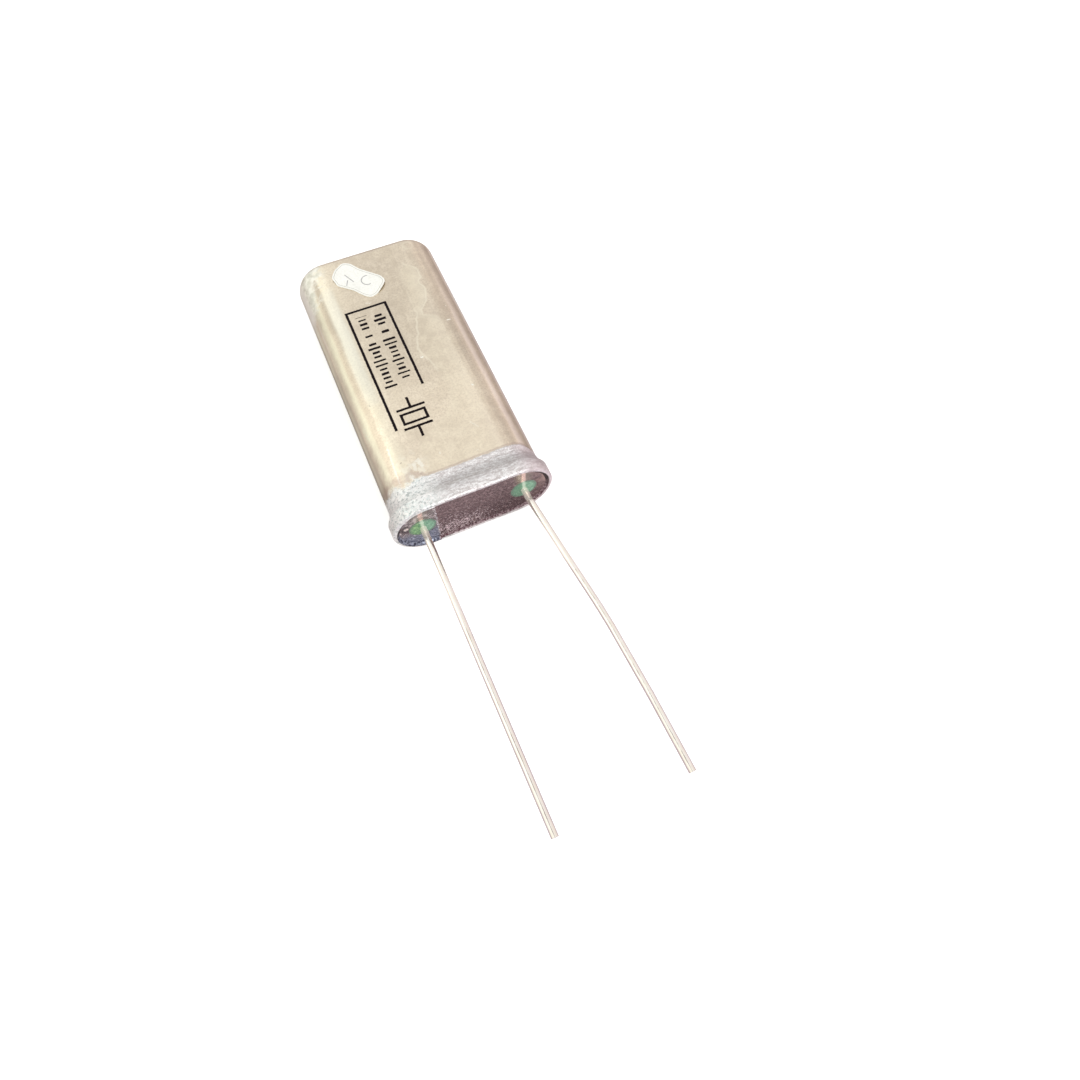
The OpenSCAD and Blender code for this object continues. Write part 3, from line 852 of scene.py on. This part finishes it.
# %% Finish the leads
lead_finish, place, shader = new_material("lead_wire")
axes = split(place)
lines = use("drawn_lines", Place=place, Spacing=0.12)["Mask"]
patchy = mottle(place, 1.5, 0.4, 0.62)
fine = mottle(place, 0.2, 0.45, 0.7)
bare = ramp(axes["Y"], RIM_Y - 2.4, RIM_Y + 0.1)
colour = layers(mix(patchy, (0.98, 0.94, 0.84), (1.0, 0.975, 0.91)), (lines, 0.25, (0.90, 0.83, 0.78)),
                (fine, 0.15, (0.84, 0.74, 0.70)), (bare, 0.8, (1.0, 0.95, 0.84)))
rough = plus(linear(patchy, 0.05, 0.08), times(bare, 0.2))
plug(shader, Base_Color=colour, Roughness=rough, Metallic=linear(bare, -0.55, 1.0),
     Normal=bump((lines, 0.003)))
dress(lead_finish, "lead_left", "lead_right")

# %% [markdown]
# ## The pieces inside the can
#
# Nothing of these shows while the can is closed, but each piece still has the finish of its real
# material, so that a cut-open view of the part looks right: nickel posts, a frosted quartz plate,
# silver films, bronze wires and bright solder.

# %% Finish the inner pieces
def inner_finish(name, dark, light, metallic, roughness, size, **extra):
    """A metal or mineral with soft mottling between two colours and a fine relief."""
    made, place, shader = new_material(name)
    cloud, grain = (mottle(place, width, 0.35, 0.65) for width in (size, size / 8))
    plug(shader, Base_Color=mix(cloud, dark, light), Metallic=metallic,
         Roughness=linear(grain, 0.12, roughness), Normal=bump((grain, 0.003)), **extra)
    return made


post_finish = inner_finish("post_wire", (0.58, 0.57, 0.54), (0.72, 0.71, 0.68), 1.0, 0.22, 1.0)
quartz_finish = inner_finish("quartz", (0.80, 0.86, 0.90), (0.92, 0.95, 0.97), 0.0, 0.35, 3.0,
                             IOR=1.54, Transmission_Weight=0.85)
film_finish = inner_finish("silver_film", (0.78, 0.78, 0.77), (0.88, 0.88, 0.87), 1.0, 0.28, 2.0)
bronze_finish = inner_finish("bronze_wire", (0.62, 0.40, 0.22), (0.76, 0.53, 0.31), 1.0, 0.25, 0.8)
drop_finish = inner_finish("solder_drops", (0.60, 0.60, 0.62), (0.80, 0.80, 0.82), 1.0, 0.2, 0.5)
dress(post_finish, "post_left", "post_right")
dress(quartz_finish, "quartz_plate")
dress(film_finish, "electrode_front", "electrode_back")
dress(bronze_finish, "suspension_wires_front", "suspension_wires_back")
dress(drop_finish, "solder_joints")

# %% [markdown]
# ## The solder bead
#
# The seam between can and header is closed by a ring of solder that was melted round the rim. On
# most of the rim it sank back and left a hollow fillet between the can's lip and the header's face.
# Round the left lead more solder was used, and the ring stands up to the rim there, with a sharp
# end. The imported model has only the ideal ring, so the bead is modelled anew: a closed section is
# spun round one end of the rim, pulled along the straight side, spun round the other end and pulled
# back. The front of the left end is then pushed out, and a Displace modifier makes it all uneven.

# %% Helpers for modelling
def edit():
    """Goes to edit mode with all of the active piece selected."""
    bpy.ops.object.mode_set(mode="EDIT")
    bpy.ops.mesh.select_all(action="SELECT")


def select_where(piece, parts, wanted):
    """Selects the corners, edges or faces of a piece in edit mode for which wanted says yes."""
    bpy.ops.mesh.select_all(action="DESELECT")
    mesh = bmesh.from_edit_mesh(piece.data)
    for part in getattr(mesh, parts):
        part.select = wanted(part)
    if parts == "verts":
        mesh.select_flush_mode()
    print("selected", sum(part.select for part in getattr(mesh, parts)), parts, "of", piece.name)
    bmesh.update_edit_mesh(piece.data)


def done(piece, name):
    """Ends edit mode, puts the piece's place into its mesh and names it."""
    bpy.ops.object.mode_set(mode="OBJECT")
    bpy.ops.object.transform_apply(location=True, rotation=True, scale=True)
    piece.name = name
    piece.data.name = name
    print(name, "has", len(piece.data.polygons), "faces")


def ring_round_rim(section, straight_steps, round_steps):
    """Sweeps a closed section round the can. It is given as (height above the rim, radius)."""
    bpy.ops.object.select_all(action="DESELECT")
    bpy.ops.mesh.primitive_circle_add(vertices=len(section), radius=1 * MM)
    made = bpy.context.object
    for corner, (height, radius) in zip(made.data.vertices, section):
        corner.co = Vector((ARC_X, RIM_Y + height, MID_Z - radius)) * MM
    edit()
    for side in (1, -1):
        centre = Vector((side * ARC_X, 0, MID_Z)) * MM
        bpy.ops.mesh.spin(steps=round_steps, angle=math.pi, center=centre, axis=(0, 1, 0))
        for _ in range(straight_steps):
            bpy.ops.mesh.extrude_region_move(TRANSFORM_OT_translate={
                "value": (-side * 2 * ARC_X * MM / straight_steps, 0, 0)})
    bpy.ops.mesh.select_all(action="SELECT")
    bpy.ops.mesh.remove_doubles(threshold=0.002 * MM)
    bpy.ops.mesh.normals_make_consistent(inside=False)
    return made


UNEVEN = 0.07


def make_uneven(piece, name, size):
    """Shades what is selected smooth, and moves the skin in and out by clouds of a given size."""
    bpy.ops.mesh.faces_shade_smooth()
    bpy.ops.object.mode_set(mode="OBJECT")
    clouds = bpy.data.textures.new(name, "CLOUDS")
    clouds.noise_scale = size * MM
    displace = piece.modifiers.new("displace", "DISPLACE")
    displace.texture = clouds
    displace.strength = UNEVEN * MM
    displace.mid_level = 0.5
    displace.texture_coords = "LOCAL"
    bpy.ops.object.modifier_apply(modifier=displace.name)


print("modelling helpers ready")

# %% Model the bead
LIP_R = SKIRT_R - 0.35
FACE_DEPTH = header_low.y - RIM_Y
PUSH = 0.13
# Front side from the can's lip to the header's face, as (height above the rim, radius), then back.
BEAD = [(0.06, LIP_R + 0.03), (0.09, LIP_R - 0.05), (0.15, LIP_R - 0.14), (0.22, LIP_R - 0.24),
        (0.27, LIP_R - 0.36), (FACE_DEPTH + 0.02, LIP_R - 0.5), (FACE_DEPTH + 0.1, LIP_R - 0.5),
        (FACE_DEPTH + 0.1, LIP_R + 0.03)]


def in_front_at_left(corner):
    """Says whether a corner is on the front of the left end, inside the can's lip."""
    x, y, z = corner.co / MM
    from_axis = math.hypot(max(-x - ARC_X, 0), z - MID_Z)
    return x < SOLDER_END_X and y < RIM_Y + 0.24 and from_axis < LIP_R - 0.02


bead = ring_round_rim(BEAD, straight_steps=90, round_steps=100)
select_where(bead, "verts", in_front_at_left)
bpy.ops.transform.translate(value=(0, -PUSH * MM, 0))
make_uneven(bead, "bead_lumps", 0.7)
done(bead, "solder_bead")
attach(bead, "root")
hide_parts("seam_solder")

# %% [markdown]
# ## The solder fillet
#
# Above the rim the can steps inwards, and the tinning filled that step with a hollow, sloping
# fillet, so the band looks flared and not stepped. The fillet is a closed section with a concave
# outer side. Its ends dive into the can's wall, so no edge of it stands free.

# %% Model the fillet
# Outer side from the body down to the skirt, as (height above the rim, radius), then back inside.
FILLET = [(3.5, BODY_R - 0.02), (3.1, BODY_R + 0.02), (2.7, BODY_R + 0.09), (2.35, BODY_R + 0.2),
          (2.05, BODY_R + 0.35), (1.78, BODY_R + 0.5), (1.55, SKIRT_R - 0.03), (1.3, SKIRT_R - 0.01),
          (1.2, SKIRT_R - 0.12), (1.7, BODY_R + 0.1), (2.2, BODY_R - 0.2), (3.3, BODY_R - 0.2)]
fillet = ring_round_rim(FILLET, straight_steps=60, round_steps=80)
make_uneven(fillet, "fillet_lumps", 1.6)
done(fillet, "tinned_fillet")
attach(fillet, "root")

# %% [markdown]
# Outside, the bead and the fillet have the tinning. Inside the can's lip the bead is nearly black
# above, which is painted shade under the lip, stained brown below, bluish round the left lead, and
# clean and pale only where it is thick, above the left seal.

# %% Finish the solder
solder_finish, place, shader = new_material("solder")
axes = split(place)
height = minus(axes["Z"], MID_Z)
tin = use("tinning", Place=place)
specked = mottle(place, 0.25, 0.42, 0.58)
by_left_lead = ramp(axes["X"], SOLDER_END_X, SOLDER_END_X - 0.3)
brown = mix(specked, (0.10, 0.05, 0.06), (0.40, 0.31, 0.32))
# Nearly black above is painted shade under the can's lip.
shade_and_stain = mix(ramp(height, -1.5, 1.0), brown, (0.045, 0.03, 0.03))
bluish = mix(specked, (0.06, 0.06, 0.09), (0.42, 0.46, 0.56))
shade_and_stain = mix(times(by_left_lead, ramp(height, 1.0, -1.0)), shade_and_stain, bluish)
clean = times(by_left_lead, ramp(axes["X"], -7.6, -6.6), ramp(height, 1.5, 2.5))
shade_and_stain = mix(times(clean, linear(specked, 0.5, 0.5)), shade_and_stain, (0.82, 0.86, 0.93))

past_end = larger(minus(absolute(axes["X"]), ARC_X), 0.0)
inner = times(ramp(hypotenuse(past_end, height), LIP_R - 0.03, LIP_R - 0.09),
              ramp(axes["Y"], RIM_Y + 1.0, RIM_Y + 0.8))
plug(shader, Base_Color=mix(inner, tin["Color"], shade_and_stain), Roughness=tin["Roughness"], Metallic=1.0,
     Normal=bump((tin["Height"], 0.04)))
for piece in (bead, fillet):
    piece.data.materials.append(solder_finish)
dress(solder_finish, "seam_solder")

# %% [markdown]
# ## The paper label
#
# The label is a scrap of white paper with rounded corners, cut by hand and stuck on askew. The
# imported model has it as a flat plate. Real paper lifts at its corners and gets soiled in a ring
# where its edge bends, so the piece starts as a copy of that plate. Its upright edges are bevelled
# round, its face is inset twice to mark the ring, it is cut into a grid with bisect, and three
# corners are raised with proportional editing.

# %% Round the label's corners
CORNER_R = 0.32
bpy.ops.object.select_all(action="DESELECT")
frame["nodes"]["paper_label"].select_set(True)
bpy.context.view_layer.objects.active = frame["nodes"]["paper_label"]
bpy.ops.object.duplicate()
label = bpy.context.object
del label["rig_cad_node"]
edit()
bpy.ops.mesh.remove_doubles(threshold=0.001 * MM)
bpy.ops.mesh.dissolve_limited(angle_limit=math.radians(1))


def upright(side):
    run = side.verts[1].co - side.verts[0].co
    return abs(run.z) > 0.9 * run.length


select_where(label, "edges", upright)
bpy.ops.mesh.bevel(offset=CORNER_R * MM, segments=4)

# %% Mark a soiled border on the label
RING_FROM_EDGE, RING_WIDTH = 0.17, 0.09
select_where(label, "faces", lambda face: face.normal.z > 0.9)
bpy.ops.mesh.select_mode(type="FACE")
bpy.ops.mesh.inset(thickness=RING_FROM_EDGE * MM, depth=0)
bpy.ops.mesh.inset(thickness=RING_WIDTH * MM, depth=0, use_select_inset=True)
bpy.ops.object.mode_set(mode="OBJECT")
label.data.materials.append(None)
border = len(label.material_slots) - 1
label.active_material_index = border
bpy.ops.object.mode_set(mode="EDIT")
bpy.ops.object.material_slot_assign()
bpy.ops.object.mode_set(mode="OBJECT")
print("soiled faces:", sum(face.material_index == border for face in label.data.polygons))
edit()
bpy.ops.mesh.select_mode(type="VERT")

# %% Cut the label into a grid and lift its corners
GRID = 0.4
for axis in (0, 1):
    start, end = label_low[axis], label_high[axis]
    cuts = int((end - start) / GRID)
    for step in range(1, cuts + 1):
        point, normal = Vector(), Vector()
        point[axis] = (start + step * (end - start) / (cuts + 1)) * MM
        normal[axis] = 1
        bpy.ops.mesh.select_all(action="SELECT")
        bpy.ops.mesh.bisect(plane_co=point, plane_no=normal)
# Each lift: the direction in which the corner lies, how high it rises and how far the bend reaches.
LIFTS = (((-1, 0.5, 0), 0.12, 1.3), ((1, -0.6, 0), 0.2, 1.6), ((0.6, 1, 0), 0.08, 1.2))
for way, rise, reach in LIFTS:
    direction = Vector(way)
    furthest = max(corner.co.dot(direction) for corner in bmesh.from_edit_mesh(label.data).verts)
    select_where(label, "verts", lambda corner: corner.co.dot(direction) > furthest - 0.1 * MM)
    bpy.ops.transform.translate(value=(0, 0, rise * MM), use_proportional_edit=True,
                                proportional_edit_falloff="SMOOTH", proportional_size=reach * MM)
done(label, "paper_sticker")
highest = max((label.matrix_world @ Vector(corner)).z for corner in label.bound_box)
print("label rises to z", round(highest / MM, 3))

# %% [markdown]
# The paper has fibres and a little grime, and the ring has much more of it. The face carries pencil
# marks without a meaning: a tick of two strokes and an open curve.

# %% Finish the label
def paper(name, soiling):
    """White paper with fibres and a share of grime, and what further marks on it need."""
    made, place, shader = new_material(name)
    fibre = mottle(place, 0.25, 0.3, 0.7)
    grime = maths("MULTIPLY_ADD", mottle(place, 1.8, 0.5, 0.75), 0.15, soiling, clamp=True)
    colour = mix(grime, mix(fibre, (0.78, 0.79, 0.74), (0.87, 0.87, 0.83)), (0.40, 0.41, 0.34))
    plug(shader, Base_Color=colour, Roughness=0.85, Metallic=0.0, Normal=bump((fibre, 0.012)))
    return made, place, shader, colour, fibre


border_finish = paper("paper_border", 0.6)[0]
paper_finish, place, shader, colour, fibre = paper("paper", 0.0)
label_x, label_y = (label_low.x + label_high.x) / 2, (label_low.y + label_high.y) / 2
SOFT = 0.05
pencil = 0.0
for x, y, half_length, turn in ((-1.45, 0.0, 0.45, 25), (-1.0, 0.62, 0.85, -25)):
    stroke = use("bar", Place=place, Middle=(label_x + x, label_y + y, 0), Half_size=(0.06, half_length, 0),
                 Angle=math.radians(turn), Soft=SOFT)["Mask"]
    pencil = larger(pencil, stroke)
curl = use("ring", Place=place, Middle=(label_x + 1.0, label_y - 0.5, 0), Radius=0.75, Half_width=0.06,
           Soft=SOFT)["Mask"]
curl = times(curl, ramp(split(place)["X"], label_x + 1.3, label_x + 1.1))
pencil = times(larger(pencil, curl), linear(fibre, 0.4, 0.5))
plug(shader, Base_Color=mix(pencil, colour, (0.16, 0.16, 0.18)))

for slot in label.material_slots:
    slot.material = paper_finish
label.material_slots[border].material = border_finish
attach(label, "root")
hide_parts("paper_label")
dress(paper_finish, "paper_label")
